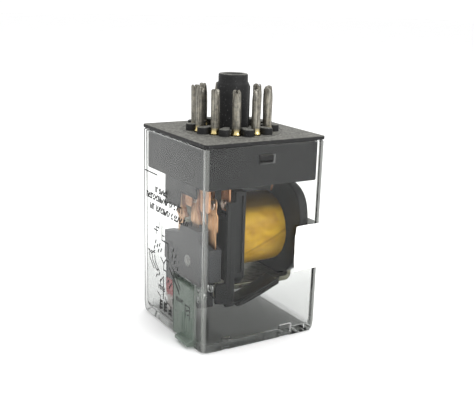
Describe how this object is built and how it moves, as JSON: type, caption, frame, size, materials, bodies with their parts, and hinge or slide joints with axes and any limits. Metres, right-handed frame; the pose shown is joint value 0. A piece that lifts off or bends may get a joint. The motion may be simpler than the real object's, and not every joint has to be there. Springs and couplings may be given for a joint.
{
  "type": "plug-in relay",
  "caption": "Plug-in changeover relay with a clear square cover, horizontal tape-wrapped coil, leaf contacts, test lever, indicator flag and a keyed round-pin base.",
  "frame": {"origin": "centre of the flat closed end of the cover, the face the relay stands on when its pins point up", "axes": "+Z from the closed end of the cover to the contact pins, +X towards the key rib of the centre post, and the test lever and indicator side of the cover faces -X"},
  "size_m": [0.0381, 0.0363, 0.07],
  "materials": {
    "base_plastic": "black phenolic moulding, dusty and finely speckled",
    "pin_nickel": "tarnished nickel plating on brass, with lengthwise wipe marks",
    "cover_clear": "clear polycarbonate, lightly scuffed",
    "paper_seal": "blank white paper label",
    "frame_plastic": "satin black moulding",
    "winding_copper": "copper wire",
    "amber_tape": "amber polyester tape, overlapped layers",
    "magnetic_steel": "olive zinc passivated steel",
    "carrier_plastic": "grey thermoset moulding",
    "spring_bronze": "rolled bronze strip",
    "contact_silver": "silver contact rivet",
    "terminal_brass": "stamped brass strip",
    "spring_steel": "bright spring wire",
    "lever_green": "translucent green moulding",
    "flag_red": "red moulding"
  },
  "bodies": {
    "relay_body": {"base_block": "base_plastic", "pin_01": "pin_nickel", "pin_02": "pin_nickel", "pin_03": "pin_nickel", "pin_04": "pin_nickel", "pin_05": "pin_nickel", "pin_06": "pin_nickel", "pin_07": "pin_nickel", "pin_08": "pin_nickel", "pin_09": "pin_nickel", "pin_10": "pin_nickel", "pin_11": "pin_nickel", "clear_cover": "cover_clear", "seal_sticker": "paper_seal", "support_frame": "frame_plastic", "bobbin": "frame_plastic", "contact_shield": "frame_plastic", "coil_winding": "winding_copper", "shading_ring": "winding_copper", "coil_lead_1": "winding_copper", "coil_lead_2": "winding_copper", "flexible_lead_1": "winding_copper", "flexible_lead_2": "winding_copper", "flexible_lead_3": "winding_copper", "insulation_tape": "amber_tape", "iron_core": "magnetic_steel", "yoke": "magnetic_steel", "nc_terminal_1": "terminal_brass", "nc_terminal_2": "terminal_brass", "nc_terminal_3": "terminal_brass", "no_terminal_1": "terminal_brass", "no_terminal_2": "terminal_brass", "no_terminal_3": "terminal_brass", "return_spring": "spring_steel", "lever_pin": "spring_steel", "flag_pin": "spring_steel"},
    "armature_body": {"armature": "magnetic_steel", "contact_carrier": "carrier_plastic", "carrier_rivet": "magnetic_steel", "moving_leaf_1": "spring_bronze", "moving_leaf_2": "spring_bronze", "moving_leaf_3": "spring_bronze", "moving_contact_1": "contact_silver", "moving_contact_2": "contact_silver", "moving_contact_3": "contact_silver"},
    "lever_body": {"test_lever": "lever_green"},
    "flag_body": {"indicator_flag": "flag_red"}
  },
  "joints": [
    {"name": "armature_hinge", "type": "hinge", "parent": "relay_body", "child": "armature_body", "pos_m": [-0.0089, 0, 0.0132], "axis": [0, 1, 0], "range_deg": [0, 3.4], "stiffness_Nm_per_rad": 0.012, "springref_deg": -9.74},
    {"name": "test_lever_hinge", "type": "hinge", "parent": "relay_body", "child": "lever_body", "pos_m": [-0.0159, -0.0072, 0.0152], "axis": [0, 1, 0], "range_deg": [0, 75]},
    {"name": "flag_hinge", "type": "hinge", "parent": "relay_body", "child": "flag_body", "pos_m": [-0.01505, 0.005, 0.0052], "axis": [1, 0, 0], "range_deg": [-28, 0]}
  ],
  "couplings": [
    {"joint": "flag_hinge", "follows": "armature_hinge", "ratio": -8}
  ]
}
